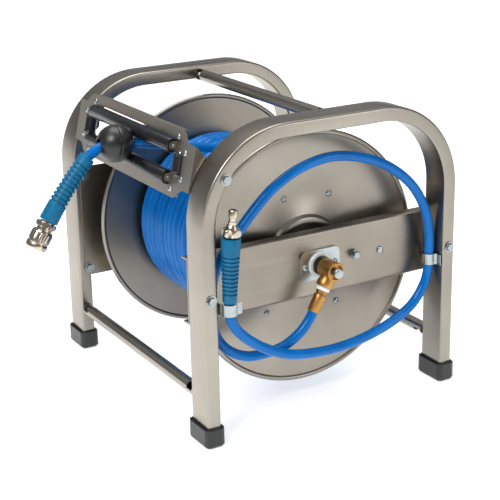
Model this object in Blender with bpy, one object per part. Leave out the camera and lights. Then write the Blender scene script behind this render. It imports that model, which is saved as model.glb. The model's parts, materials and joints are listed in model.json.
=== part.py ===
"""Open-frame spring-rewind air hose reel.

All sizes are in metres, with +Z up. The drum turns about an axis along X, the hose comes out
towards -Y, and the supply side, with its swivel and its clipped-up hose, faces +X.
"""

import math

import bmesh
import bpy
from mathutils import Matrix, Vector

GAP = 0.0003  # between pieces that touch

# Frame of two upside-down U hoops
HEIGHT = 0.380
HOOP_SPAN = 0.3646  # over both legs of a hoop
HOOP_INNER_X = 0.160  # the face of each hoop that looks at the drum
TUBE_WIDE = 0.040
TUBE_THIN = 0.018
TUBE_WALL = 0.002
TUBE_ROUND = 0.003
BEND_RADIUS = 0.1135  # outside of a hoop's bends
FOOT_HEIGHT = 0.025
FOOT_WALL = 0.004
ROD_RADIUS = 0.008

# Drum
AXIS_Z = 0.185
FLANGE_RADIUS = 0.1636
FLANGE_SHEET = 0.0015
NEAR_FACE_X = 0.1265  # the near flange's face towards the hose
FAR_FACE_X = -0.1152
CORE_RADIUS = 0.090
PACK_RADIUS = 0.113
SHAFT_RADIUS = 0.010
ARBOR_RADIUS = 0.012
CASE_RADIUS = 0.080
CASE_NEAR_X = -0.1170
CASE_FAR_X = -0.1500

# Cross members
CROSSBAR_HALF = 0.041
CROSSBAR_FLANGE = 0.014
FAR_PLATE_LOW = 0.108
FAR_PLATE_HIGH = 0.263
SHEET = 0.002

# Roller guide, in its own leaning frame: X, up the plate, and out of its front
GUIDE_Y = -0.1706
GUIDE_Z = 0.330
GUIDE_LEAN = math.radians(13.2)
GUIDE_HALF_HEIGHT = 0.040
GUIDE_HALF_WIDTH = 0.123
WINDOW_HALF_HEIGHT = 0.0285
WINDOW_HALF_WIDTH = 0.1105
ROLLER_RADIUS = 0.0088
ROLLER_UP = 0.0187
ROLLER_OUT = 0.0028
SIDE_ROLLER_X = 0.123
SIDE_ROLLER_RADIUS = 0.0082
PIN_RADIUS = 0.0018
BALL_RADIUS = 0.0230

# Hose
HOSE_RADIUS = 0.00625
BOOT_WIDE = 0.0117
BOOT_MIDDLE = 0.0098
BOOT_NARROW = 0.0083

# Where the drum's hose leaves the wound pack, runs through the rollers and hangs
OUTLET_ROUTE = [
    (0.0400, 0.0180, 0.3030),
    (0.0380, -0.0220, 0.3080),
    (0.0330, -0.0620, 0.3140),
    (0.0270, -0.1000, 0.3200),
    (0.0215, -0.1380, 0.3268),
    (0.0180, -0.1710, 0.3328),
    (0.0166, -0.1993, 0.3364),
    (0.0166, -0.2110, 0.3361),
    (0.0166, -0.2211, 0.3336),
    (0.0166, -0.2361, 0.3249),
    (0.0166, -0.2412, 0.3198),
    (0.0166, -0.2592, 0.2986),
    (0.0166, -0.2761, 0.2766),
    (0.0166, -0.2878, 0.2595),
]
# From the swivel's ferrule, round behind the front leg, over, through both clips, up to the plug
SUPPLY_ROUTE = [
    (0.1880, -0.0163, 0.1550),
    (0.1880, -0.0220, 0.1445),
    (0.1880, -0.0268, 0.1357),
    (0.1880, -0.0322, 0.1271),
    (0.1876, -0.0460, 0.1126),
    (0.1858, -0.0700, 0.0992),
    (0.1822, -0.1050, 0.0950),
    (0.1785, -0.1249, 0.0990),
    (0.1752, -0.1418, 0.1102),
    (0.1718, -0.1530, 0.1271),
    (0.1693, -0.1566, 0.1460),
    (0.1685, -0.1570, 0.1640),
    (0.1687, -0.1563, 0.1820),
    (0.1696, -0.1525, 0.2020),
    (0.1712, -0.1437, 0.2210),
    (0.1736, -0.1318, 0.2395),
    (0.1760, -0.1180, 0.2570),
    (0.1776, -0.0990, 0.2780),
    (0.1780, -0.0740, 0.2990),
    (0.1780, -0.0380, 0.3165),
    (0.1780, 0.0050, 0.3240),
    (0.1780, 0.0500, 0.3170),
    (0.1780, 0.0920, 0.2990),
    (0.1785, 0.1280, 0.2700),
    (0.1800, 0.1495, 0.2340),
    (0.1810, 0.1560, 0.2000),
    (0.1810, 0.1567, 0.1800),
    (0.1810, 0.1564, 0.1600),
    (0.1810, 0.1495, 0.1340),
    (0.1820, 0.1275, 0.1085),
    (0.1860, 0.0845, 0.0915),
    (0.1920, 0.0300, 0.0840),
    (0.1980, -0.0200, 0.0860),
    (0.2020, -0.0700, 0.0955),
    (0.2040, -0.1100, 0.1155),
    (0.2045, -0.1385, 0.1390),
    (0.2047, -0.1500, 0.1580),
    (0.2049, -0.1524, 0.1720),
    (0.2051, -0.1520, 0.1840),
    (0.2056, -0.1510, 0.2120),
    (0.2060, -0.1500, 0.2360),
    (0.2063, -0.1493, 0.2540),
]
OUTLET_BOOT_ROUTE = [
    (0.0166, -0.2361, 0.3249),
    (0.0166, -0.2412, 0.3198),
    (0.0166, -0.2592, 0.2986),
    (0.0166, -0.2761, 0.2766),
    (0.0166, -0.2918, 0.2538),
]
SUPPLY_BOOT_ROUTE = [
    (0.2051, -0.1521, 0.1810),
    (0.2056, -0.1510, 0.2120),
    (0.2060, -0.1500, 0.2360),
    (0.2064, -0.1491, 0.2590),
]
COUPLER_DOWN = (0, -0.530, -0.848)
PLUG_UP = (0.020, 0.110, 0.994)


# ---------------------------------------------------------------- tools


def finish(name, bm, material, origin=(0, 0, 0), hidden=False):
    """Makes the object from a bmesh held in the reel's frame, with its origin where it turns."""
    bmesh.ops.remove_doubles(bm, verts=bm.verts, dist=1e-6)
    bmesh.ops.recalc_face_normals(bm, faces=bm.faces)
    bm.transform(Matrix.Translation(-Vector(origin)))
    mesh = bpy.data.meshes.new(name)
    bm.to_mesh(mesh)
    bm.free()
    obj = bpy.data.objects.new(name, mesh)
    obj.location = origin
    bpy.context.scene.collection.objects.link(obj)
    if hidden:
        obj.hide_render = True
        obj.display_type = "WIRE"
    else:
        mesh.materials.append(material)
    return obj


def boolean(obj, operation, others):
    for other in others:
        modifier = obj.modifiers.new(f"{operation.title()} {other.name}", "BOOLEAN")
        modifier.operation = operation
        modifier.solver = "EXACT"
        modifier.object = other


def cut(obj, *cutters):
    boolean(obj, "DIFFERENCE", cutters)


def join(obj, *others):
    boolean(obj, "UNION", others)


def material(name, colour, metallic, roughness):
    made = bpy.data.materials.get(name)
    if made is None:
        made = bpy.data.materials.new(name)
        made.use_nodes = True
        shader = made.node_tree.nodes["Principled BSDF"]
        shader.inputs["Base Color"].default_value = (*colour, 1)
        shader.inputs["Metallic"].default_value = metallic
        shader.inputs["Roughness"].default_value = roughness
    return made


def steel():
    return material("Brushed steel", (0.46, 0.44, 0.40), 1.0, 0.34)


def zinc():
    return material("Zinc plate", (0.60, 0.66, 0.66), 1.0, 0.30)


def brass():
    return material("Brass", (0.72, 0.46, 0.14), 1.0, 0.28)


def nickel():
    return material("Nickel plate", (0.66, 0.60, 0.50), 1.0, 0.20)


def rubber():
    return material("Black rubber", (0.02, 0.02, 0.02), 0.0, 0.65)


def black_plastic():
    return material("Black plastic", (0.03, 0.03, 0.03), 0.0, 0.42)


def white_nylon():
    return material("White nylon", (0.80, 0.80, 0.78), 0.0, 0.45)


def hose_blue():
    return material("Blue hose", (0.0, 0.10, 0.55), 0.0, 0.25)


def boot_blue():
    return material("Teal boot", (0.0, 0.18, 0.34), 0.0, 0.50)


def basis(along):
    """A turn that takes +X to along and keeps +Z as near up as it can."""
    x = Vector(along).normalized()
    y = Vector((0, 0, 1)).cross(x)
    y = y.normalized() if y.length > 1e-6 else Vector((0, 1, 0))
    return Matrix((x, y, x.cross(y))).transposed()


def placed(bm, along, origin):
    """Moves a shape made about the X axis so that it lies about along, from origin."""
    bm.transform(Matrix.Translation(origin) @ basis(along).to_4x4())
    return bm


def rounded(width, height, radius, steps=3):
    """The outline of a rounded rectangle about (0, 0), anticlockwise."""
    points = []
    for quarter, (sx, sy) in enumerate([(1, 1), (-1, 1), (-1, -1), (1, -1)]):
        for step in range(steps + 1):
            angle = math.pi / 2 * (quarter + step / steps)
            points.append(
                (
                    sx * (width / 2 - radius) + radius * math.cos(angle),
                    sy * (height / 2 - radius) + radius * math.sin(angle),
                )
            )
    return points


def arc(centre, radius, start, end, steps):
    """Points on an arc, with its angles in degrees."""
    angles = [math.radians(start + (end - start) * i / steps) for i in range(steps + 1)]
    return [(centre[0] + radius * math.cos(a), centre[1] + radius * math.sin(a)) for a in angles]


def turned(outline, steps=24, along=(1, 0, 0), origin=(0, 0, 0)):
    """A shape spun about along. Its outline is (along, radius) points; one that starts and ends
    on the axis makes a solid, and any other is closed into a ring."""
    bm = bmesh.new()
    verts = [bm.verts.new((a, 0, r)) for a, r in outline]
    edges = [bm.edges.new(pair) for pair in zip(verts, verts[1:])]
    if outline[0][1] > 0 or outline[-1][1] > 0:
        edges.append(bm.edges.new((verts[-1], verts[0])))
    bmesh.ops.spin(
        bm,
        geom=verts + edges,
        cent=(0, 0, 0),
        axis=(1, 0, 0),
        angle=2 * math.pi,
        steps=steps,
        use_merge=True,
    )
    bmesh.ops.remove_doubles(bm, verts=bm.verts, dist=1e-6)
    return placed(bm, along, origin)


def ring(inner, outer, start, end, steps=24, along=(1, 0, 0), origin=(0, 0, 0)):
    outline = [(start, inner), (start, outer), (end, outer), (end, inner)]
    return turned(outline, steps, along, origin)


def rod(radius, start, end, steps=16, along=(1, 0, 0), origin=(0, 0, 0)):
    outline = [(start, 0), (start, radius), (end, radius), (end, 0)]
    return turned(outline, steps, along, origin)


def slab(outline, start, end, along=(1, 0, 0), origin=(0, 0, 0)):
    """A flat outline of (across, up) points, given depth along."""
    bm = bmesh.new()
    face = bm.faces.new([bm.verts.new((start, a, b)) for a, b in outline])
    bm.normal_update()
    made = bmesh.ops.extrude_face_region(bm, geom=[face])["geom"]
    moved = [item for item in made if isinstance(item, bmesh.types.BMVert)]
    bmesh.ops.translate(bm, verts=moved, vec=(end - start, 0, 0))
    return placed(bm, along, origin)


def block(low, high):
    bm = bmesh.new()
    size, middle = Vector(high) - Vector(low), (Vector(high) + Vector(low)) / 2
    bmesh.ops.create_cube(
        bm, size=1, matrix=Matrix.Translation(middle) @ Matrix.Diagonal((*size, 1))
    )
    return bm


def skinned(loops, close_ends=True):
    """Joins loops of equal length, one after the other, and caps the first and the last."""
    bm = bmesh.new()
    rows = [[bm.verts.new(point) for point in loop] for loop in loops]
    count = len(rows[0])
    for low, high in zip(rows, rows[1:]):
        for i in range(count):
            j = (i + 1) % count
            bm.faces.new((low[i], low[j], high[j], high[i]))
    if close_ends:
        bm.faces.new(rows[0])
        bm.faces.new(list(reversed(rows[-1])))
    return bm


def stud(stations, along=(1, 0, 0), origin=(0, 0, 0)):
    """A bolt or fitting lofted along its axis from (along, radius, round or hex) stations."""
    loops = []
    for place, radius, form in stations:
        loop = []
        for i in range(12):
            angle = math.pi / 6 * i
            flat = form == "hex" and i % 2
            reach = radius * (math.cos(math.pi / 6) if flat else 1)
            loop.append((place, reach * math.cos(angle), reach * math.sin(angle)))
        loops.append(loop)
    return placed(skinned(loops), along, origin)


def curve_through(route, spacing):
    """Evenly spaced points on a smooth curve through the route, its two ends among them."""
    ends = [
        Vector(route[0]) * 2 - Vector(route[1]),
        Vector(route[-1]) * 2 - Vector(route[-2]),
    ]
    knots = [ends[0], *[Vector(p) for p in route], ends[1]]
    fine = []
    for a, b, c, d in zip(knots, knots[1:], knots[2:], knots[3:]):
        for step in range(24):
            t = step / 24
            fine.append(
                b
                + (c - a) * t / 2
                + (a * 2 - b * 5 + c * 4 - d) * t * t / 2
                + (b * 3 - a - c * 3 + d) * t**3 / 2
            )
    fine.append(knots[-2])
    along = [0.0]
    for a, b in zip(fine, fine[1:]):
        along.append(along[-1] + (b - a).length)
    count = max(2, round(along[-1] / spacing))
    points, at = [], 0
    for i in range(count + 1):
        wanted = along[-1] * i / count
        while at < len(fine) - 2 and along[at + 1] < wanted:
            at += 1
        part = (wanted - along[at]) / (along[at + 1] - along[at])
        points.append(fine[at].lerp(fine[at + 1], min(1, part)))
    return points


def tangents(points):
    pairs = zip([points[0], *points[:-1]], [*points[1:], points[-1]])
    return [(b - a).normalized() for a, b in pairs]


def tube_along(points, radii, sides):
    """A closed tube whose radius changes from point to point."""
    loops = []
    for point, along, radius in zip(points, tangents(points), radii):
        turn = basis(along)
        loop = []
        for i in range(sides):
            angle = 2 * math.pi * i / sides
            offset = Vector((0, radius * math.cos(angle), radius * math.sin(angle)))
            loop.append(point + turn @ offset)
        loops.append(loop)
    return skinned(loops)


def hose(name, points, made_of):
    """A hose as a curve with a round bevel and filled ends."""
    curve = bpy.data.curves.new(name, "CURVE")
    curve.dimensions = "3D"
    curve.bevel_depth = HOSE_RADIUS
    curve.bevel_resolution = 2
    curve.use_fill_caps = True
    spline = curve.splines.new("POLY")
    spline.points.add(len(points) - 1)
    for target, point in zip(spline.points, points):
        target.co = (*point, 1)
    curve.materials.append(made_of)
    obj = bpy.data.objects.new(name, curve)
    bpy.context.scene.collection.objects.link(obj)
    return obj


# ---------------------------------------------------------------- frame

LEG_Y = (HOOP_SPAN - TUBE_THIN) / 2
BEND_MIDDLE = BEND_RADIUS - TUBE_THIN / 2
BEND_Y = LEG_Y - BEND_MIDDLE
BEND_Z = HEIGHT - TUBE_THIN / 2 - BEND_MIDDLE
LEG_BOTTOM = 0.0055
LEG_FACE_Y = LEG_Y - TUBE_THIN / 2  # the side of a leg that looks at the other leg

CROSSBAR_BOLT_Z = AXIS_Z
FAR_BOLTS = [(side * 0.168, z) for side in (-1, 1) for z in (0.119, 0.250)]
GUIDE_BOLT = (-0.1504, 0.3256)  # Y and Z, in the front bend of each hoop


def hoop_path():
    """(place, out) along a hoop's middle, up its front leg and down its back leg, in Y and Z."""
    path = [((-LEG_Y, LEG_BOTTOM), (-1.0, 0.0))]
    for side, start, end in ((-1, 180, 90), (1, 90, 0)):
        for y, z in arc((0, 0), 1, start, end, 6):
            path.append(((side * BEND_Y + BEND_MIDDLE * y, BEND_Z + BEND_MIDDLE * z), (y, z)))
    path.append(((LEG_Y, LEG_BOTTOM), (1.0, 0.0)))
    return path


def hoop_sweep(width, thin, radius, longer=0.0):
    """The hoop's tube as a solid sweep, made longer at the legs for the hollow's cutter."""
    section = rounded(width, thin, radius, 1)
    path = hoop_path()
    loops = []
    for i, ((y, z), (out_y, out_z)) in enumerate(path):
        drop = longer if i in (0, len(path) - 1) else 0
        loops.append([(x, y + out_y * out, z - drop + out_z * out) for x, out in section])
    return skinned(loops)


def hoop(name, side, bolts):
    middle = side * (HOOP_INNER_X + TUBE_WIDE / 2)
    outer = hoop_sweep(TUBE_WIDE, TUBE_THIN, TUBE_ROUND)
    bmesh.ops.translate(outer, verts=outer.verts, vec=(middle, 0, 0))
    inner = hoop_sweep(TUBE_WIDE - 2 * TUBE_WALL, TUBE_THIN - 2 * TUBE_WALL, 0.0015, 0.01)
    bmesh.ops.translate(inner, verts=inner.verts, vec=(middle, 0, 0))
    obj = finish(name, outer, steel())
    cut(obj, finish(f"{name}_hollow", inner, None, hidden=True))
    for i, (y, z) in enumerate(bolts):
        hole = rod(0.0034, side * 0.15, side * 0.21, 8, origin=(0, y, z))
        cut(obj, finish(f"{name}_hole_{i}", hole, None, hidden=True))


def foot(name, side_x, side_y):
    """A rubber cup that the end of a leg stands in."""
    wide, thin = TUBE_WIDE + 2 * FOOT_WALL, TUBE_THIN + 2 * FOOT_WALL
    slack = 2 * GAP
    levels = [
        (0.0050, TUBE_WIDE + slack, TUBE_THIN + slack, TUBE_ROUND),
        (FOOT_HEIGHT, TUBE_WIDE + slack, TUBE_THIN + slack, TUBE_ROUND),
        (FOOT_HEIGHT, wide - 0.0024, thin - 0.0024, 0.0050),
        (FOOT_HEIGHT - 0.0012, wide, thin, 0.0060),
        (0.0030, wide, thin, 0.0060),
        (0.0, wide - 0.0050, thin - 0.0050, 0.0040),
    ]
    x, y = side_x * (HOOP_INNER_X + TUBE_WIDE / 2), side_y * LEG_Y
    loops = [
        [(x + a, y + b, z) for a, b in rounded(width, depth, radius, 2)]
        for z, width, depth, radius in levels
    ]
    finish(name, skinned(loops), rubber())


def tie_rod(name, y, z, turn):
    """A tube with closed, bolted ends; turn says which way each end is notched for its bolt."""
    end = HOOP_INNER_X - GAP
    obj = finish(name, rod(ROD_RADIUS, -end, end, 16, origin=(0, y, z)), steel())
    hollow = rod(ROD_RADIUS - 0.0015, -end + 0.002, end - 0.002, 16, origin=(0, y, z))
    cut(obj, finish(f"{name}_hollow", hollow, None, hidden=True))
    for side in (-1, 1):
        notch = block((-0.0065, -0.012, 0.0005), (0.0065, 0.012, 0.012))
        notch.transform(Matrix.Rotation(turn, 4, "X"))
        notch.transform(Matrix.Translation((side * (end - 0.0025 - 0.0065), y, z)))
        cut(obj, finish(f"{name}_notch_{side}", notch, None, hidden=True))


def near_crossbar():
    """The channel between the near hoop's legs, its edges folded towards the drum."""
    face, back = HOOP_INNER_X - GAP, HOOP_INNER_X - GAP - CROSSBAR_FLANGE
    inside = face - SHEET
    half, bend = CROSSBAR_HALF, 0.003
    outer = arc((face - bend, half - bend), bend, 90, 0, 3)
    inner = arc((face - bend, half - bend), bend - SHEET, 0, 90, 3)
    upper = [(back, half), *outer]
    lower = [(x, -z) for x, z in reversed(upper)]
    upper_in = [*inner, (back, half - SHEET)]
    lower_in = [(x, -z) for x, z in reversed(upper_in)]
    outline = [(-x, z) for x, z in upper + lower + lower_in + upper_in]
    bar = slab(outline, -0.1815, 0.1815, along=(0, 1, 0), origin=(0, 0, AXIS_Z))
    obj = finish("near_crossbar", bar, steel())
    holes = [(0, 0, 0.0130), (PAWL_Y, PAWL_Z - AXIS_Z, 0.0034), (ANCHOR_Y, 0, 0.0024)]
    holes += [(side * LEG_Y, CROSSBAR_BOLT_Z - AXIS_Z, 0.0034) for side in (-1, 1)]
    for i, (y, z, radius) in enumerate(holes):
        hole = rod(radius, inside - 0.01, face + 0.01, 16, origin=(0, y, AXIS_Z + z))
        cut(obj, finish(f"near_crossbar_hole_{i}", hole, None, hidden=True))


def far_plate():
    """The tall plate across the far hoop that carries the spring's arbor."""
    middle = (FAR_PLATE_LOW + FAR_PLATE_HIGH) / 2
    outline = rounded(0.348, FAR_PLATE_HIGH - FAR_PLATE_LOW, 0.010, 3)
    face = -(HOOP_INNER_X - GAP)
    obj = finish("far_plate", slab(outline, face, face + SHEET, origin=(0, 0, middle)), steel())
    holes = [(y, z, 0.0034) for y, z in FAR_BOLTS] + [(0, AXIS_Z, ARBOR_RADIUS + GAP)]
    for i, (y, z, radius) in enumerate(holes):
        hole = rod(radius, face - 0.01, face + 0.01, 16, origin=(0, y, z))
        cut(obj, finish(f"far_plate_hole_{i}", hole, None, hidden=True))


def through_bolt(name, y, z, head_x, nut_x, nut_face_x):
    """A bolt right through a tube, its washer head at head_x and its nut from nut_face_x."""
    out = 1 if head_x > nut_x else -1
    stations = [
        (head_x + out * 0.0044, 0.0050, "hex"),
        (head_x + out * 0.0012, 0.0056, "hex"),
        (head_x + out * 0.0012, 0.0070, "round"),
        (head_x + out * GAP, 0.0070, "round"),
        (head_x + out * GAP, 0.0030, "round"),
        (nut_face_x, 0.0030, "round"),
        (nut_face_x, 0.0056, "hex"),
        (nut_face_x - out * 0.0065, 0.0054, "hex"),
        (nut_face_x - out * 0.0065, 0.0029, "round"),
        (nut_x, 0.0026, "round"),
    ]
    finish(name, stud(stations, origin=(0, y, z)), zinc())


def frame_bolts():
    outer = HOOP_INNER_X + TUBE_WIDE
    inner = HOOP_INNER_X - GAP - SHEET - GAP
    for side, place in ((-1, "front"), (1, "rear")):
        name = f"crossbar_bolt_{place}"
        through_bolt(name, side * LEG_Y, CROSSBAR_BOLT_Z, outer, inner - 0.008, inner)
    for y, z in FAR_BOLTS:
        name = f"plate_bolt_{'front' if y < 0 else 'rear'}_{'low' if z < AXIS_Z else 'high'}"
        through_bolt(name, y, z, -inner - GAP, -outer - 0.0138, -outer - GAP)
    for side, place in ((-1, "far"), (1, "near")):
        y, z = GUIDE_BOLT
        name = f"guide_bolt_{place}"
        through_bolt(name, y, z, side * outer, side * (inner - 0.008), side * inner)


# ---------------------------------------------------------------- drum


def near_flange():
    """The supply side's disc: a raised hub ring, a dished rim and a rolled edge."""
    x, sheet = NEAR_FACE_X, FLANGE_SHEET
    lift = 0.005
    face = [
        (x, SHAFT_RADIUS + GAP),
        (x, 0.0370),
        (x + lift, 0.0400),
        (x + lift, 0.0520),
        (x, 0.0555),
        (x, 0.1200),
        (x + 0.0035, 0.1572),
    ]
    bead = [(x + 0.0045 + a, 0.1604 + r) for a, r in arc((0, 0), 0.0032, 225, -120, 5)]
    outside = [(a + sheet, r) for a, r in reversed(face)]
    outline = face + bead + outside
    finish("near_flange", turned(outline, 40, origin=(0, 0, AXIS_Z)), steel())


def far_flange():
    x, sheet = FAR_FACE_X, FLANGE_SHEET
    face = [(x, ARBOR_RADIUS + 0.0055), (x, 0.1200), (x - 0.0035, 0.1572)]
    bead = [(x - 0.0045 - a, 0.1604 + r) for a, r in arc((0, 0), 0.0032, 225, -120, 5)]
    outside = [(a - sheet, r) for a, r in reversed(face)]
    finish("far_flange", turned(face + bead + outside, 32, origin=(0, 0, AXIS_Z)), steel())


def drum_core():
    """The tube that the hose is wound on, with lips that the flange screws go into."""
    start, end = FAR_FACE_X + GAP, NEAR_FACE_X - GAP
    outline = [
        (start, 0.0800),
        (start, CORE_RADIUS),
        (end, CORE_RADIUS),
        (end, 0.0800),
        (end - 0.0015, 0.0800),
        (end - 0.0015, CORE_RADIUS - 0.0015),
        (start + 0.0015, CORE_RADIUS - 0.0015),
        (start + 0.0015, 0.0800),
    ]
    finish("drum_core", turned(outline, 28, origin=(0, 0, AXIS_Z)), steel())


def hose_pack():
    """The wound hose as one solid, slightly hollow in the middle as the turns have slumped."""
    start, end = FAR_FACE_X + 0.0010, NEAR_FACE_X - 0.0010
    width = end - start
    outline = [(start, CORE_RADIUS + GAP)]
    for part, radius in ((0, -0.004), (0.03, 0), (0.3, -0.001), (0.5, -0.003), (0.75, 0), (0.97, 0.001)):
        outline.append((start + part * width, PACK_RADIUS + radius))
    outline += [(end, PACK_RADIUS - 0.003), (end, CORE_RADIUS + GAP)]
    finish("hose_pack", turned(outline, 28, origin=(0, 0, AXIS_Z)), hose_blue())


def hub():
    """The hollow shaft that takes the air from the swivel, with the boss that fixes it to the
    near flange and the pipe that leads to the wound hose."""
    face = NEAR_FACE_X + FLANGE_SHEET + GAP
    outline = [
        (0.0900, 0.0045),
        (0.0900, SHAFT_RADIUS),
        (face, SHAFT_RADIUS),
        (face, 0.0360),
        (face + 0.0025, 0.0360),
        (face + 0.0030, 0.0170),
        (face + 0.0090, 0.0155),
        (face + 0.0090, SHAFT_RADIUS),
        (0.1656, SHAFT_RADIUS),
        (0.1656, 0.0070),
        (0.1880, 0.0070),
        (0.1880, 0.0045),
    ]
    obj = finish("drum_hub", turned(outline, 24, origin=(0, 0, AXIS_Z)), zinc())
    top = CORE_RADIUS - 0.0026
    pipe = [(0.0070, 0), (0.0070, 0.0080), (0.0210, 0.0065), (top, 0.0065), (top, 0)]
    riser = turned(pipe, 16, (0, 0, 1), (0.102, 0, AXIS_Z))
    join(obj, finish("hub_riser", riser, None, hidden=True))
    bore = rod(0.0040, 0, top + 0.001, 16, (0, 0, 1), (0.102, 0, AXIS_Z))
    cut(obj, finish("hub_riser_bore", bore, None, hidden=True))


RATCHET_X = 0.1385
RATCHET_THICK = 0.005
RATCHET_TIP = 0.036
RATCHET_ROOT = 0.031
RATCHET_TEETH = 10


def ratchet_wheel():
    outline = []
    for tooth in range(RATCHET_TEETH):
        for part, radius in ((0.0, RATCHET_ROOT), (0.08, RATCHET_TIP), (0.35, RATCHET_TIP)):
            angle = 2 * math.pi * (tooth + part) / RATCHET_TEETH
            outline.append((radius * math.cos(angle), radius * math.sin(angle)))
    wheel = slab(outline, RATCHET_X, RATCHET_X + RATCHET_THICK, origin=(0, 0, AXIS_Z))
    obj = finish("ratchet_wheel", wheel, zinc())
    bore = rod(SHAFT_RADIUS + GAP, 0.13, 0.15, 24, origin=(0, 0, AXIS_Z))
    cut(obj, finish("ratchet_bore", bore, None, hidden=True))


def spring_case():
    """The cup on the back of the far flange that holds the power spring."""
    x, end = CASE_NEAR_X, CASE_FAR_X
    outline = [
        (x, ARBOR_RADIUS + 0.0055),
        (x, CASE_RADIUS - 0.003),
        (x - 0.003, CASE_RADIUS),
        (end, CASE_RADIUS),
        (end, CASE_RADIUS - 0.0015),
        (x - 0.0032, CASE_RADIUS - 0.0015),
        (x - 0.0015, CASE_RADIUS - 0.0035),
        (x - 0.0015, ARBOR_RADIUS + 0.0055),
    ]
    finish("spring_case", turned(outline, 28, origin=(0, 0, AXIS_Z)), steel())


def spring_cover():
    inner, outer = CASE_FAR_X - GAP, CASE_FAR_X - GAP - 0.0020
    cover = ring(ARBOR_RADIUS + 0.0010, CASE_RADIUS, outer, inner, 28, origin=(0, 0, AXIS_Z))
    finish("spring_cover", cover, steel())


def power_spring():
    """A flat spiral of steel ribbon, slack, from just off the arbor to just inside the case."""
    start, end, turns, thick = 0.0185, 0.0740, 6, 0.0012
    near, far = CASE_NEAR_X - 0.0035, CASE_FAR_X + 0.0025
    steps = turns * 12
    loops = []
    for i in range(steps + 1):
        angle = 2 * math.pi * turns * i / steps
        radius = start + (end - start) * (i / steps) ** 0.8
        y, z = math.cos(angle), math.sin(angle)
        corners = [(near, radius), (near, radius + thick), (far, radius + thick), (far, radius)]
        loops.append([(x, r * y, AXIS_Z + r * z) for x, r in corners])
    finish("power_spring", skinned(loops), steel())


def arbor():
    """The fixed pin that the drum's far side turns on and the spring winds against."""
    face = -(HOOP_INNER_X - GAP)
    outline = [
        (face - 0.0035, 0),
        (face - 0.0035, 0.0200),
        (face - GAP, 0.0200),
        (face - GAP, ARBOR_RADIUS),
        (-0.0980, ARBOR_RADIUS),
        (-0.0970, ARBOR_RADIUS - 0.001),
        (-0.0970, 0),
    ]
    finish("arbor", turned(outline, 20, origin=(0, 0, AXIS_Z)), zinc())


def far_bushing():
    outline = ring(ARBOR_RADIUS + 0.0004, ARBOR_RADIUS + 0.0051, -0.1230, -0.1050, 16)
    outline.transform(Matrix.Translation((0, 0, AXIS_Z)))
    finish("far_bushing", outline, white_nylon())


# ---------------------------------------------------------------- bearing, swivel and latch

PAWL_Y = 0.053
PAWL_Z = 0.1875
ANCHOR_Y = 0.094
SWIVEL_X = 0.188
SWIVEL_DOWN = (0, -0.4770, -0.8789)


def bearing():
    """The zinc plate on the crossbar and the nylon bush that the shaft turns in."""
    face = HOOP_INNER_X
    plate = slab(rounded(0.058, 0.038, 0.008, 4), face, face + 0.003, origin=(0, 0.001, AXIS_Z))
    obj = finish("bearing_plate", plate, zinc())
    hole = rod(0.0130, face - 0.01, face + 0.01, 24, origin=(0, 0, AXIS_Z))
    cut(obj, finish("bearing_hole", hole, None, hidden=True))
    front = face + 0.003 + GAP
    bore = SHAFT_RADIUS + 0.0004
    outline = [
        (0.1500, bore),
        (0.1500, 0.0126),
        (front, 0.0126),
        (front, 0.0165),
        (front + 0.0013, 0.0165),
        (front + 0.0022, 0.0152),
        (front + 0.0022, bore),
    ]
    finish("bearing_bush", turned(outline, 24, origin=(0, 0, AXIS_Z)), white_nylon())


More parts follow.
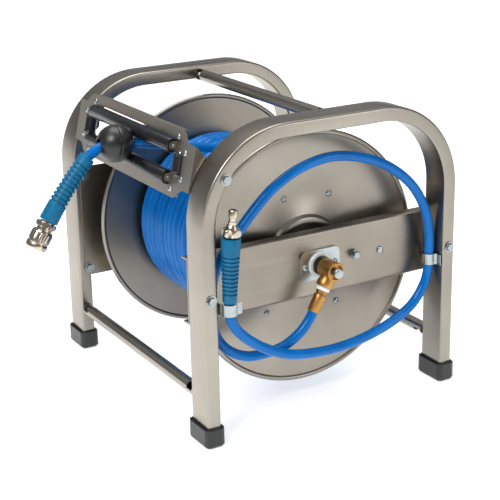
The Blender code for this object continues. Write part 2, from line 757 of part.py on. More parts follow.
def swivel():
    """The brass elbow on the end of the shaft, with its dust seal, plug, nipple and ferrule."""
    centre = Vector((SWIVEL_X, 0, AXIS_Z))
    seal = [(0.1661, 0.0075), (0.1661, 0.0118)]
    for i in range(3):
        seal += [(0.1668 + 0.0026 * i, 0.0122), (0.1680 + 0.0026 * i, 0.0112)]
    seal += [(0.1742, 0.0118), (0.1742, 0.0075)]
    finish("swivel_seal", turned(seal, 16, origin=(0, 0, AXIS_Z)), rubber())

    body = [
        (0.1745, 0),
        (0.1745, 0.0110),
        (0.1758, 0.0120),
        (0.1985, 0.0120),
        (0.1998, 0.0112),
        (0.1998, 0),
    ]
    obj = finish("swivel_elbow", turned(body, 18, origin=(0, 0, AXIS_Z)), brass())
    socket = [(0.002, 0), (0.002, 0.0100), (0.0125, 0.0097), (0.0155, 0.0105), (0.0212, 0.0106)]
    socket += [(0.0218, 0.0100), (0.0218, 0)]
    join(obj, finish("swivel_socket", turned(socket, 20, SWIVEL_DOWN, centre), None, hidden=True))
    bores = [(0.0074, 0.1700, 0.1895), (0.0096, 0.1952, 0.2100), (0.0049, 0.1915, 0.1960)]
    for i, (radius, start, end) in enumerate(bores):
        bore = rod(radius, start, end, 16, origin=(0, 0, AXIS_Z))
        cut(obj, finish(f"swivel_bore_{i}", bore, None, hidden=True))
    outlet = rod(0.0060, 0.0062, 0.0300, 16, SWIVEL_DOWN, centre)
    cut(obj, finish("swivel_outlet", outlet, None, hidden=True))

    plug = [
        (0.1922, 0.0040, "round"),
        (0.1930, 0.0046, "round"),
        (0.2012, 0.0046, "round"),
        (0.2012, 0.0064, "round"),
        (0.2058, 0.0064, "round"),
        (0.2068, 0.0050, "round"),
    ]
    finish("swivel_plug", stud(plug, origin=(0, 0, AXIS_Z)), zinc())

    nipple = [
        (0.0130, 0.0050, "round"),
        (0.0145, 0.0056, "round"),
        (0.0275, 0.0056, "round"),
        (0.0275, 0.0068, "round"),
        (0.0283, 0.0073, "round"),
        (0.0300, 0.0073, "round"),
        (0.0308, 0.0066, "round"),
        (0.0312, 0.0058, "round"),
        (0.0322, 0.0058, "round"),
    ]
    finish("hose_nipple", stud(nipple, SWIVEL_DOWN, centre), brass())

    ferrule = [(0.0326, 0.0067), (0.0326, 0.0070), (0.0334, 0.0076)]
    for i in range(3):
        at = 0.0375 + 0.0055 * i
        ferrule += [(at, 0.0076), (at + 0.0012, 0.0072), (at + 0.0024, 0.0076)]
    ferrule += [(0.0544, 0.0076), (0.0552, 0.0071), (0.0552, 0.0067)]
    finish("hose_ferrule", turned(ferrule, 16, SWIVEL_DOWN, centre), brass())


def latch():
    """The pawl behind the crossbar, its pivot bolt, its return spring and the spring's anchor."""
    pivot = (0, PAWL_Y, PAWL_Z)
    tip = RATCHET_TIP + 0.0012 - PAWL_Y
    nose = [(0.0030, -0.0060), (0.0105, -0.0030), (0.0125, 0.0), (0.0105, 0.0030), (0.0030, 0.0060)]
    outline = nose + [(-0.0040, 0.0055), (tip + 0.002, 0.0010), (tip, -0.0010)]
    outline += [(tip + 0.001, -0.0035), (-0.0040, -0.0060)]
    pawl = slab(outline, RATCHET_X, RATCHET_X + RATCHET_THICK, origin=pivot)
    obj = finish("ratchet_pawl", pawl, zinc(), origin=(RATCHET_X, PAWL_Y, PAWL_Z))
    bore = rod(0.0034, RATCHET_X - 0.01, RATCHET_X + 0.02, 16, origin=pivot)
    cut(obj, finish("pawl_bore", bore, None, hidden=True))

    face = HOOP_INNER_X - GAP
    bolt = [
        (RATCHET_X - 0.0034, 0.0050, "hex"),
        (RATCHET_X - GAP, 0.0050, "hex"),
        (RATCHET_X - GAP, 0.0030, "round"),
        (RATCHET_X + RATCHET_THICK + GAP, 0.0030, "round"),
        (RATCHET_X + RATCHET_THICK + GAP, 0.0055, "round"),
        (face - SHEET - GAP, 0.0055, "round"),
        (face - SHEET - GAP, 0.0030, "round"),
        (face + GAP, 0.0030, "round"),
        (face + GAP, 0.0062, "round"),
        (face + 0.0040, 0.0062, "round"),
        (face + 0.0040, 0.0058, "hex"),
        (face + 0.0082, 0.0056, "hex"),
        (face + 0.0090, 0.0044, "hex"),
    ]
    finish("pawl_bolt", stud(bolt, origin=pivot), zinc())

    anchor = [
        (RATCHET_X, 0.0030, "round"),
        (RATCHET_X + 0.0015, 0.0030, "round"),
        (RATCHET_X + 0.0015, 0.0020, "round"),
        (face + GAP, 0.0020, "round"),
        (face + GAP, 0.0048, "round"),
        (face + 0.0018, 0.0044, "round"),
        (face + 0.0024, 0.0026, "round"),
    ]
    finish("spring_anchor", stud(anchor, origin=(0, ANCHOR_Y, AXIS_Z)), zinc())

    start, end, coils = PAWL_Y + 0.0145, ANCHOR_Y - 0.0035, 7
    points = []
    for i in range(coils * 6 + 1):
        angle = 2 * math.pi * i / 6
        x = RATCHET_X + RATCHET_THICK / 2 + 0.0025 * math.cos(angle)
        y = start + (end - start) * i / (coils * 6)
        points.append(Vector((x, y, 0.1862 + 0.0025 * math.sin(angle))))
    finish("pawl_spring", tube_along(points, [0.0005] * len(points), 4), steel())


# ---------------------------------------------------------------- roller guide


def in_guide(bm):
    """Takes a shape made as (X, out of the plate, up the plate) into the leaning guide."""
    up = Vector((0, math.sin(GUIDE_LEAN), math.cos(GUIDE_LEAN)))
    out = Vector((0, -math.cos(GUIDE_LEAN), math.sin(GUIDE_LEAN)))
    turn = Matrix((Vector((1, 0, 0)), out, up)).transposed().to_4x4()
    bm.transform(Matrix.Translation((0, GUIDE_Y, GUIDE_Z)) @ turn)
    return bm


def guide_point(x, out, up):
    lean = Vector((0, math.sin(GUIDE_LEAN), math.cos(GUIDE_LEAN)))
    front = Vector((0, -math.cos(GUIDE_LEAN), math.sin(GUIDE_LEAN)))
    return Vector((x, GUIDE_Y, GUIDE_Z)) + front * out + lean * up


def guide_frame():
    """The folded steel frame: a front plate with its window, folds, ears, lugs and side flanges."""
    sheet = 0.0016
    side = HOOP_INNER_X - GAP - 0.0002
    lug = 0.027
    corner = arc((0.1455, GUIDE_HALF_HEIGHT + 0.002), 0.0150, 205, 262, 4)
    quarter = [(GUIDE_HALF_WIDTH, GUIDE_HALF_HEIGHT), *corner, (side - 0.0004, lug)]
    outline = quarter + [(x, -up) for x, up in reversed(quarter)]
    outline += [(-x, -up) for x, up in quarter] + [(-x, up) for x, up in reversed(quarter)]
    plate = bmesh.new()
    face = plate.faces.new([plate.verts.new((x, -sheet, up)) for x, up in outline])
    made = bmesh.ops.extrude_face_region(plate, geom=[face])["geom"]
    moved = [item for item in made if isinstance(item, bmesh.types.BMVert)]
    bmesh.ops.translate(plate, verts=moved, vec=(0, sheet, 0))
    obj = finish("guide_frame", in_guide(plate), steel())

    window = block(
        (-WINDOW_HALF_WIDTH, -0.005, -WINDOW_HALF_HEIGHT), (WINDOW_HALF_WIDTH, 0.005, WINDOW_HALF_HEIGHT)
    )
    cut(obj, finish("guide_window", in_guide(window), None, hidden=True))
    for end in (-1, 1):
        low, high = sorted((end * (WINDOW_HALF_WIDTH - 0.001), end * 0.1322))
        notch = block((low, -0.005, -0.0118), (high, 0.005, 0.0118))
        cut(obj, finish(f"guide_notch_{end}", in_guide(notch), None, hidden=True))

    for edge in (-1, 1):
        low, high = sorted((edge * (GUIDE_HALF_HEIGHT - sheet), edge * GUIDE_HALF_HEIGHT))
        width = GUIDE_HALF_WIDTH - 0.0060
        fold = block((-width, -0.011, low - 0.0002), (width, -0.0005, high - 0.0002))
        join(obj, finish(f"guide_fold_{edge}", in_guide(fold), None, hidden=True))

    for end in (-1, 1):
        for edge in (-1, 1):
            name = f"guide_ear_{end}_{edge}"
            ear = [(-0.0010, edge * 0.0122), (-0.0010, edge * 0.0252)]
            ear += [(a, edge * b) for a, b in arc((ROLLER_OUT, ROLLER_UP), 0.0055, 60, -60, 5)]
            inner = WINDOW_HALF_WIDTH + 0.0003
            bm = slab(ear, end * inner, end * (inner + 0.0014))
            join(obj, finish(name, in_guide(bm), None, hidden=True))
            hole = rod(0.0021, end * 0.109, end * 0.114, 10, origin=(0, ROLLER_OUT, edge * ROLLER_UP))
            cut(obj, finish(f"{name}_hole", in_guide(hole), None, hidden=True))
            low, high = sorted((edge * 0.0114, edge * 0.0128))
            shelf_low, shelf_high = sorted((end * 0.1165, end * 0.1330))
            shelf = block((shelf_low, -0.0085, low), (shelf_high, 0.0030, high))
            join(obj, finish(f"{name}_shelf", in_guide(shelf), None, hidden=True))
        at = (end * SIDE_ROLLER_X, -0.0015, 0)
        pin = rod(0.0021, -0.0140, 0.0140, 10, (0, 0, 1), at)
        cut(obj, finish(f"guide_pin_{end}", in_guide(pin), None, hidden=True))
        for edge in (-1, 1):
            head = rod(0.0029, edge * 0.0125, edge * 0.0155, 12, (0, 0, 1), at)
            cut(obj, finish(f"guide_pin_head_{end}_{edge}", in_guide(head), None, hidden=True))

    front_low, front_high = guide_point(0, -0.0010, -lug), guide_point(0, -0.0010, lug)
    flange = [
        (front_low.y, front_low.z),
        (-0.1500, 0.3085),
        (-0.1420, 0.3150),
        (-0.1405, 0.3260),
        (-0.1450, 0.3345),
        (front_high.y, front_high.z),
    ]
    for end in (-1, 1):
        bm = slab(flange, end * (side - sheet), end * side)
        join(obj, finish(f"guide_side_{end}", bm, None, hidden=True))
        y, z = GUIDE_BOLT
        hole = rod(0.0034, end * 0.150, end * 0.170, 12, origin=(0, y, z))
        cut(obj, finish(f"guide_side_hole_{end}", hole, None, hidden=True))


def guide_rollers():
    """Two long rollers across the window and two short ones up its ends, each on its pin."""
    for name, up in (("upper", ROLLER_UP), ("lower", -ROLLER_UP)):
        half, bore = WINDOW_HALF_WIDTH - 0.0010, PIN_RADIUS + 0.0004
        outline = [
            (-half, bore),
            (-half, ROLLER_RADIUS - 0.0008),
            (-half + 0.0008, ROLLER_RADIUS),
            (half - 0.0008, ROLLER_RADIUS),
            (half, ROLLER_RADIUS - 0.0008),
            (half, bore),
        ]
        centre = guide_point(0, ROLLER_OUT, up)
        roller = turned(outline, 16, origin=centre)
        finish(f"{name}_roller", roller, black_plastic(), origin=centre)
        end = WINDOW_HALF_WIDTH + 0.0016 + GAP
        pin = [
            (-end - 0.0012, 0.0019, "round"),
            (-end, 0.0024, "round"),
            (-end, PIN_RADIUS, "round"),
            (end, PIN_RADIUS, "round"),
            (end, 0.0024, "round"),
            (end + 0.0012, 0.0019, "round"),
        ]
        finish(f"{name}_roller_pin", stud(pin, origin=centre), zinc())
    lean = guide_point(0, 0, 1) - guide_point(0, 0, 0)
    for name, side in (("far", -1), ("near", 1)):
        half, bore = 0.0108, PIN_RADIUS + 0.0004
        outline = [
            (-half, bore),
            (-half, SIDE_ROLLER_RADIUS),
            (-half + 0.0012, SIDE_ROLLER_RADIUS),
            (-half + 0.0016, SIDE_ROLLER_RADIUS - 0.0006),
            (half - 0.0016, SIDE_ROLLER_RADIUS - 0.0006),
            (half - 0.0012, SIDE_ROLLER_RADIUS),
            (half, SIDE_ROLLER_RADIUS),
            (half, bore),
        ]
        centre = guide_point(side * SIDE_ROLLER_X, -0.0015, 0)
        roller = turned(outline, 12, lean, centre)
        finish(f"{name}_side_roller", roller, black_plastic(), origin=centre)
        end = 0.0128 + GAP
        pin = [
            (-end - 0.0012, 0.0019, "round"),
            (-end, 0.0024, "round"),
            (-end, PIN_RADIUS, "round"),
            (end, PIN_RADIUS, "round"),
            (end, 0.0024, "round"),
            (end + 0.0012, 0.0019, "round"),
        ]
        finish(f"{name}_side_roller_pin", stud(pin, lean, centre), zinc())


# ---------------------------------------------------------------- hoses and what is on them


def boot(name, route, narrow):
    """A ribbed strain relief that follows a route from its narrow end to the fitting."""
    points = curve_through(route, 0.002)
    length = sum((b - a).length for a, b in zip(points, points[1:]))
    ribs, plain = 7, 0.13
    stations = [(0.0, -0.0010), (0.0012 / length, 0.0)]
    pitch = (0.70 - plain) / ribs
    for i in range(ribs):
        at = plain + pitch * i
        stations += [(at, 0.0), (at + pitch * 0.25, -0.0016), (at + pitch * 0.5, 0.0)]
    stations += [(1 - 0.0012 / length, 0.0), (1.0, -0.0010)]
    outline = [(at, narrow + (BOOT_WIDE - narrow) * at + drop) for at, drop in stations]
    bore = HOSE_RADIUS + 0.0006
    outline += [(1.0, bore), (0.5, bore), (0.12, bore + 0.0001), (0.0, bore + 0.0005)]
    runs = tangents(points)
    loops = []
    for at, radius in outline:
        place = at * (len(points) - 1)
        low = min(int(place), len(points) - 2)
        centre = points[low].lerp(points[low + 1], place - low)
        turn = basis(runs[low].lerp(runs[low + 1], place - low))
        loop = []
        for i in range(14):
            angle = 2 * math.pi * i / 14
            loop.append(centre + turn @ Vector((0, radius * math.cos(angle), radius * math.sin(angle))))
        loops.append(loop)
    finish(name, skinned([*loops, loops[0]], close_ends=False), boot_blue())


def hoses():
    outlet = curve_through(OUTLET_ROUTE, 0.0125)
    supply = curve_through(SUPPLY_ROUTE, 0.0280)
    hose("outlet_hose", outlet, hose_blue())
    hose("supply_hose", supply, hose_blue())


def outlet_end():
    """The ball stop, the boot, and the quick coupler with its sliding sleeve."""
    centre = Vector(OUTLET_ROUTE[6])
    bm = bmesh.new()
    bmesh.ops.create_uvsphere(bm, u_segments=16, v_segments=10, radius=BALL_RADIUS)
    bm.transform(Matrix.Translation(centre))
    ball = finish("stop_ball", bm, rubber())
    near = curve_through(OUTLET_ROUTE[4:11], 0.006)
    bore = tube_along(near, [HOSE_RADIUS + 0.0006] * len(near), 16)
    cut(ball, finish("ball_bore", bore, None, hidden=True))
    boot("outlet_boot", OUTLET_BOOT_ROUTE, BOOT_MIDDLE)

    down = Vector(COUPLER_DOWN)
    fitting = Vector(OUTLET_BOOT_ROUTE[-1]) + down * GAP * 2
    body = [
        (0.0, 0.0090, "round"),
        (0.0012, 0.0090, "round"),
        (0.0012, 0.0118, "hex"),
        (0.0022, 0.0128, "hex"),
        (0.0068, 0.0128, "hex"),
        (0.0078, 0.0118, "hex"),
        (0.0078, 0.0095, "round"),
        (0.0330, 0.0095, "round"),
        (0.0330, 0.0060, "round"),
        (0.0230, 0.0055, "round"),
    ]
    finish("coupler_body", stud(body, down, fitting), nickel())
    sleeve = [(0.0115, 0.0100), (0.0115, 0.0114), (0.0127, 0.0124), (0.0150, 0.0130)]
    sleeve += [(0.0252, 0.0131), (0.0260, 0.0122), (0.0272, 0.0122), (0.0280, 0.0132)]
    sleeve += [(0.0340, 0.0132), (0.0354, 0.0120), (0.0354, 0.0100)]
    finish("coupler_sleeve", turned(sleeve, 24, down, fitting), nickel(), origin=fitting)


def supply_end():
    """The boot and the bare plug on the end of the supply hose."""
    boot("supply_boot", SUPPLY_BOOT_ROUTE, BOOT_NARROW)
    plug = [
        (0.0, 0.0095, "round"),
        (0.0005, 0.0104, "hex"),
        (0.0012, 0.0112, "hex"),
        (0.0078, 0.0112, "hex"),
        (0.0088, 0.0100, "hex"),
        (0.0088, 0.0074, "round"),
        (0.0128, 0.0066, "round"),
        (0.0145, 0.0052, "round"),
        (0.0178, 0.0052, "round"),
        (0.0185, 0.0042, "round"),
        (0.0222, 0.0042, "round"),
        (0.0230, 0.0054, "round"),
        (0.0300, 0.0054, "round"),
        (0.0315, 0.0044, "round"),
        (0.0315, 0.0030, "round"),
        (0.0240, 0.0026, "round"),
    ]
    up = Vector(PLUG_UP)
    finish("hose_plug", stud(plug, up, Vector(SUPPLY_BOOT_ROUTE[-1]) + up * 0.0014), nickel())


def strip(name, path, z_low, z_high, thick):
    """A bent strip standing on edge: its path in plan, thickened to the left of its run."""
    left = []
    for i, point in enumerate(path):
        before, after = path[max(0, i - 1)], path[min(len(path) - 1, i + 1)]
        run = (Vector(after) - Vector(before)).normalized()
        left.append((point[0] - run.y * thick, point[1] + run.x * thick))
    outline = [(a, b) for a, b in path] + list(reversed(left))
    bm = bmesh.new()
    face = bm.faces.new([bm.verts.new((a, b, z_low)) for a, b in outline])
    made = bmesh.ops.extrude_face_region(bm, geom=[face])["geom"]
    moved = [item for item in made if isinstance(item, bmesh.types.BMVert)]
    bmesh.ops.translate(bm, verts=moved, vec=(0, 0, z_high - z_low))
    finish(name, bm, steel())


def clips():
    """A saddle for the hose on the rear leg, and an arm on the front leg for its upright end."""
    face, thick, hold = LEG_FACE_Y - GAP, 0.0012, HOSE_RADIUS + 0.0010
    x, y = 0.181, 0.1564
    path = [(0.1645, face - thick), (0.1715, face - thick)]
    path += arc((x, y), hold, 150, 390, 12)
    path += [(0.1905, face - thick), (0.1975, face - thick)]
    strip("rear_hose_clip", path, 0.1610, 0.1750, -thick)
    path = [(0.1790, -face + thick), (0.1975, -face + thick), (0.2025, -0.1612)]
    path += arc((0.2049, -0.1522), hold + thick + 0.0005, 285, 425, 9)
    path += [(0.2072, -0.1370)]
    strip("front_hose_clip", path, 0.1655, 0.1795, thick)


# ---------------------------------------------------------------- the reel


def clear_scene():
    for obj in list(bpy.data.objects):
        bpy.data.objects.remove(obj)


def build():
    clear_scene()
    crossbar_holes = [(side * LEG_Y, CROSSBAR_BOLT_Z) for side in (-1, 1)]
    hoop("near_hoop", 1, [*crossbar_holes, GUIDE_BOLT])
    hoop("far_hoop", -1, [*FAR_BOLTS, GUIDE_BOLT])
    for x_name, side_x in (("near", 1), ("far", -1)):
        for y_name, side_y in (("front", -1), ("rear", 1)):
            foot(f"foot_{x_name}_{y_name}", side_x, side_y)
    tie_rod("tie_rod_top", 0.014, 0.3685, math.radians(90))
    tie_rod("tie_rod_front", -0.1730, 0.0575, 0.0)
    tie_rod("tie_rod_rear", 0.1700, 0.0600, math.radians(180))
    near_crossbar()
    far_plate()
    frame_bolts()
    near_flange()
    far_flange()
    drum_core()
    hose_pack()
    hub()
    ratchet_wheel()
    spring_case()
    spring_cover()
    power_spring()
    arbor()
    far_bushing()
    bearing()
    swivel()
    latch()
    guide_frame()
    guide_rollers()
    hoses()
    outlet_end()
    supply_end()
    clips()


build()
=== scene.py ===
"""The look of the spring-rewind air hose reel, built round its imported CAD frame."""

import json
import math

import bmesh
import bpy
from mathutils import Matrix, Vector


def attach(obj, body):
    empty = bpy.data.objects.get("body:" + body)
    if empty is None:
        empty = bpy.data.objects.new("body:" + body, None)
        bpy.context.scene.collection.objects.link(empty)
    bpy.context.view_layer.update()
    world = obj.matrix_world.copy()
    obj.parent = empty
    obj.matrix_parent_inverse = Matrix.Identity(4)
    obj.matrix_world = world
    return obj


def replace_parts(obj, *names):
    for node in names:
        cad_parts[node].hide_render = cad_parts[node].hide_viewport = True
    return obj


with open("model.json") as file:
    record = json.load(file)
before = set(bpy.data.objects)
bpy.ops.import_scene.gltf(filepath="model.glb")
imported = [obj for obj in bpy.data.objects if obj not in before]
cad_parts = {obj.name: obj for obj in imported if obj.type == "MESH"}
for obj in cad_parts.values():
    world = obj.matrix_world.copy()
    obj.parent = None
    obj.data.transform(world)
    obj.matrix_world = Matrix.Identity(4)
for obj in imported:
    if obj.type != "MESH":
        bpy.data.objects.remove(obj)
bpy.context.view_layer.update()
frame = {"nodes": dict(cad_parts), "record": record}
nodes = frame["nodes"]

# Sizes in metres, the same as the CAD's
AXIS_Z = 0.185
HOSE_RADIUS = 0.00625
HEIGHT = 0.380
LEG_Y = 0.1733
TUBE_WIDE = 0.040
TUBE_THIN = 0.018
HOOP_INNER_X = 0.160
BEND_RADIUS = 0.1135  # outside of a hoop's bends
NEAR_FACE_X = 0.1265  # the near flange's face towards the hose
FAR_FACE_X = -0.1152
FLANGE_SHEET = 0.0015
GUIDE_Y = -0.1706
GUIDE_Z = 0.330
GUIDE_LEAN = math.radians(13.2)
ROLLER_RADIUS = 0.0088
ROLLER_UP = 0.0187
ROLLER_OUT = 0.0028
SIDE_ROLLER_X = 0.123
SIDE_ROLLER_RADIUS = 0.0082
BALL_RADIUS = 0.0230
BOOT_WIDE = 0.0117
BOOT_MIDDLE = 0.0098
BOOT_NARROW = 0.0083
COUPLER_BORE = 0.0100

# The same routes as the CAD hoses
OUTLET_ROUTE = [
    (0.0400, 0.0180, 0.3030),
    (0.0380, -0.0220, 0.3080),
    (0.0330, -0.0620, 0.3140),
    (0.0270, -0.1000, 0.3200),
    (0.0215, -0.1380, 0.3268),
    (0.0180, -0.1710, 0.3328),
    (0.0166, -0.1993, 0.3364),
    (0.0166, -0.2110, 0.3361),
    (0.0166, -0.2211, 0.3336),
    (0.0166, -0.2361, 0.3249),
    (0.0166, -0.2412, 0.3198),
    (0.0166, -0.2592, 0.2986),
    (0.0166, -0.2761, 0.2766),
    (0.0166, -0.2878, 0.2595),
]
SUPPLY_ROUTE = [
    (0.1880, -0.0163, 0.1550),
    (0.1880, -0.0220, 0.1445),
    (0.1880, -0.0268, 0.1357),
    (0.1880, -0.0322, 0.1271),
    (0.1876, -0.0460, 0.1126),
    (0.1858, -0.0700, 0.0992),
    (0.1822, -0.1050, 0.0950),
    (0.1785, -0.1249, 0.0990),
    (0.1752, -0.1418, 0.1102),
    (0.1718, -0.1530, 0.1271),
    (0.1693, -0.1566, 0.1460),
    (0.1685, -0.1570, 0.1640),
    (0.1687, -0.1563, 0.1820),
    (0.1696, -0.1525, 0.2020),
    (0.1712, -0.1437, 0.2210),
    (0.1736, -0.1318, 0.2395),
    (0.1760, -0.1180, 0.2570),
    (0.1776, -0.0990, 0.2780),
    (0.1780, -0.0740, 0.2990),
    (0.1780, -0.0380, 0.3165),
    (0.1780, 0.0050, 0.3240),
    (0.1780, 0.0500, 0.3170),
    (0.1780, 0.0920, 0.2990),
    (0.1785, 0.1280, 0.2700),
    (0.1800, 0.1495, 0.2340),
    (0.1810, 0.1560, 0.2000),
    (0.1810, 0.1567, 0.1800),
    (0.1810, 0.1564, 0.1600),
    (0.1810, 0.1495, 0.1340),
    (0.1820, 0.1275, 0.1085),
    (0.1860, 0.0845, 0.0915),
    (0.1920, 0.0300, 0.0840),
    (0.1980, -0.0200, 0.0860),
    (0.2020, -0.0700, 0.0955),
    (0.2040, -0.1100, 0.1155),
    (0.2045, -0.1385, 0.1390),
    (0.2047, -0.1500, 0.1580),
    (0.2049, -0.1524, 0.1720),
    (0.2051, -0.1520, 0.1840),
    (0.2056, -0.1510, 0.2120),
    (0.2060, -0.1500, 0.2360),
    (0.2063, -0.1493, 0.2540),
]
OUTLET_BOOT_ROUTE = [
    (0.0166, -0.2361, 0.3249),
    (0.0166, -0.2412, 0.3198),
    (0.0166, -0.2592, 0.2986),
    (0.0166, -0.2761, 0.2766),
    (0.0166, -0.2918, 0.2538),
]
SUPPLY_BOOT_ROUTE = [
    (0.2051, -0.1521, 0.1810),
    (0.2056, -0.1510, 0.2120),
    (0.2060, -0.1500, 0.2360),
    (0.2064, -0.1491, 0.2590),
]
COUPLER_DOWN = (0, -0.530, -0.848)
PLUG_UP = (0.020, 0.110, 0.994)
SWIVEL_DOWN = (0, -0.4770, -0.8789)
SWIVEL_CENTRE = (0.188, 0, AXIS_Z)


# ---------------------------------------------------------------- camera, floor and light


def camera():
    """Looks down at the reel from in front of its supply side."""
    yaw, pitch, roll = math.radians(58.354), math.radians(17.858), math.radians(-0.744)
    ahead = Vector(
        (-math.sin(yaw) * math.cos(pitch), math.cos(yaw) * math.cos(pitch), -math.sin(pitch))
    )
    right = Vector((math.cos(yaw), math.sin(yaw), 0))
    up = right.cross(ahead)
    across = right * math.cos(roll) + up * math.sin(roll)
    above = up * math.cos(roll) - right * math.sin(roll)
    data = bpy.data.cameras.new("Camera")
    data.sensor_width = 36
    data.lens = 93.15
    data.shift_x = -0.05
    data.shift_y = -0.05
    obj = bpy.data.objects.new("Camera", data)
    obj.matrix_world = Matrix.Translation((1.4131, -0.8342, 0.7203)) @ Matrix(
        (across, above, -ahead)
    ).transposed().to_4x4()
    bpy.context.scene.collection.objects.link(obj)
    bpy.context.scene.camera = obj


def area_light(name, place, target, size, power):
    data = bpy.data.lights.new(name, "AREA")
    data.shape = "RECTANGLE"
    data.size, data.size_y = size
    data.energy = power
    obj = bpy.data.objects.new(name, data)
    obj.location = place
    obj.rotation_euler = (Vector(target) - Vector(place)).to_track_quat("-Z", "Y").to_euler()
    bpy.context.scene.collection.objects.link(obj)


def studio():
    """A dim world, three soft lights and a pale floor that glows a little."""
    scene = bpy.context.scene
    scene.view_settings.view_transform = "Standard"
    world = bpy.data.worlds.new("Studio")
    scene.world = world
    world.use_nodes = True
    tree = world.node_tree
    back = tree.nodes["Background"]
    place = tree.nodes.new("ShaderNodeTexCoord")
    parts = tree.nodes.new("ShaderNodeSeparateXYZ")
    ramp = tree.nodes.new("ShaderNodeValToRGB")
    ramp.color_ramp.elements[0].position = 0.0
    ramp.color_ramp.elements[0].color = (0.34, 0.34, 0.35, 1)
    ramp.color_ramp.elements[1].position = 1.0
    ramp.color_ramp.elements[1].color = (0.66, 0.67, 0.69, 1)
    middle = ramp.color_ramp.elements.new(0.35)
    middle.color = (0.20, 0.21, 0.22, 1)
    tree.links.new(place.outputs["Generated"], parts.inputs[0])
    tree.links.new(parts.outputs["Z"], ramp.inputs["Fac"])
    tree.links.new(ramp.outputs["Color"], back.inputs["Color"])
    back.inputs["Strength"].default_value = 1.0
    area_light("Key", (0.9, -1.6, 1.9), (0, 0, 0.2), (1.0, 1.0), 38)
    area_light("Top", (-0.3, 0.1, 2.2), (0, 0, 0.2), (1.5, 1.5), 30)
    area_light("Side", (2.0, 1.2, 0.9), (0, 0, 0.2), (0.7, 1.2), 9)

    bm = bmesh.new()
    bmesh.ops.create_grid(bm, x_segments=1, y_segments=1, size=12)
    mesh = bpy.data.meshes.new("Floor")
    bm.to_mesh(mesh)
    bm.free()
    floor = bpy.data.objects.new("Floor", mesh)
    floor.location = (0, 0, -0.0006)
    scene.collection.objects.link(floor)
    made = bpy.data.materials.new("Floor")
    made.use_nodes = True
    shader = made.node_tree.nodes["Principled BSDF"]
    shader.inputs["Base Color"].default_value = (0.9, 0.9, 0.9, 1)
    shader.inputs["Roughness"].default_value = 0.9
    shader.inputs["Emission Color"].default_value = (1, 1, 1, 1)
    shader.inputs["Emission Strength"].default_value = 0.60
    mesh.materials.append(made)


# ---------------------------------------------------------------- materials


def new_material(name, metallic, roughness):
    made = bpy.data.materials.new(name)
    made.use_nodes = True
    shader = made.node_tree.nodes["Principled BSDF"]
    shader.inputs["Metallic"].default_value = metallic
    shader.inputs["Roughness"].default_value = roughness
    return made, made.node_tree, shader


def noise(tree, scale, detail, stretch=(1, 1, 1)):
    """A noise in the object's own space, stretched along its grain."""
    place = tree.nodes.new("ShaderNodeTexCoord")
    mapping = tree.nodes.new("ShaderNodeMapping")
    mapping.inputs["Scale"].default_value = stretch
    texture = tree.nodes.new("ShaderNodeTexNoise")
    texture.inputs["Scale"].default_value = scale
    texture.inputs["Detail"].default_value = detail
    tree.links.new(place.outputs["Object"], mapping.inputs["Vector"])
    tree.links.new(mapping.outputs["Vector"], texture.inputs["Vector"])
    return texture


def tinted(tree, shader, texture, dark, light):
    ramp = tree.nodes.new("ShaderNodeValToRGB")
    ramp.color_ramp.elements[0].position = 0.32
    ramp.color_ramp.elements[0].color = (*dark, 1)
    ramp.color_ramp.elements[1].position = 0.68
    ramp.color_ramp.elements[1].color = (*light, 1)
    tree.links.new(texture.outputs["Fac"], ramp.inputs["Fac"])
    tree.links.new(ramp.outputs["Color"], shader.inputs["Base Color"])


def roughened(tree, shader, texture, low, high):
    spread = tree.nodes.new("ShaderNodeMapRange")
    spread.inputs["From Min"].default_value = 0.3
    spread.inputs["From Max"].default_value = 0.7
    spread.inputs["To Min"].default_value = low
    spread.inputs["To Max"].default_value = high
    tree.links.new(texture.outputs["Fac"], spread.inputs["Value"])
    tree.links.new(spread.outputs["Result"], shader.inputs["Roughness"])


def bumped(tree, shader, texture, distance, strength=1.0):
    bump = tree.nodes.new("ShaderNodeBump")
    bump.inputs["Distance"].default_value = distance
    bump.inputs["Strength"].default_value = strength
    tree.links.new(texture.outputs["Fac"], bump.inputs["Height"])
    tree.links.new(bump.outputs["Normal"], shader.inputs["Normal"])


def brushed(name, dark, light, stretch, low, high):
    """Steel drawn along one axis: long fine streaks over slow, cloudy changes."""
    made, tree, shader = new_material(name, 1.0, low)
    streaks = noise(tree, 40, 2, stretch)
    clouds = noise(tree, 7, 3)
    tinted(tree, shader, clouds, dark, light)
    roughened(tree, shader, streaks, low, high)
    return made


def plain(name, dark, light, metallic, low, high, scale=70, bump=0.00003, specular=0.5):
    made, tree, shader = new_material(name, metallic, low)
    grain = noise(tree, scale, 4)
    tinted(tree, shader, grain, dark, light)
    roughened(tree, shader, grain, low, high)
    bumped(tree, shader, grain, bump, 0.4)
    shader.inputs["Specular IOR Level"].default_value = specular
    return made


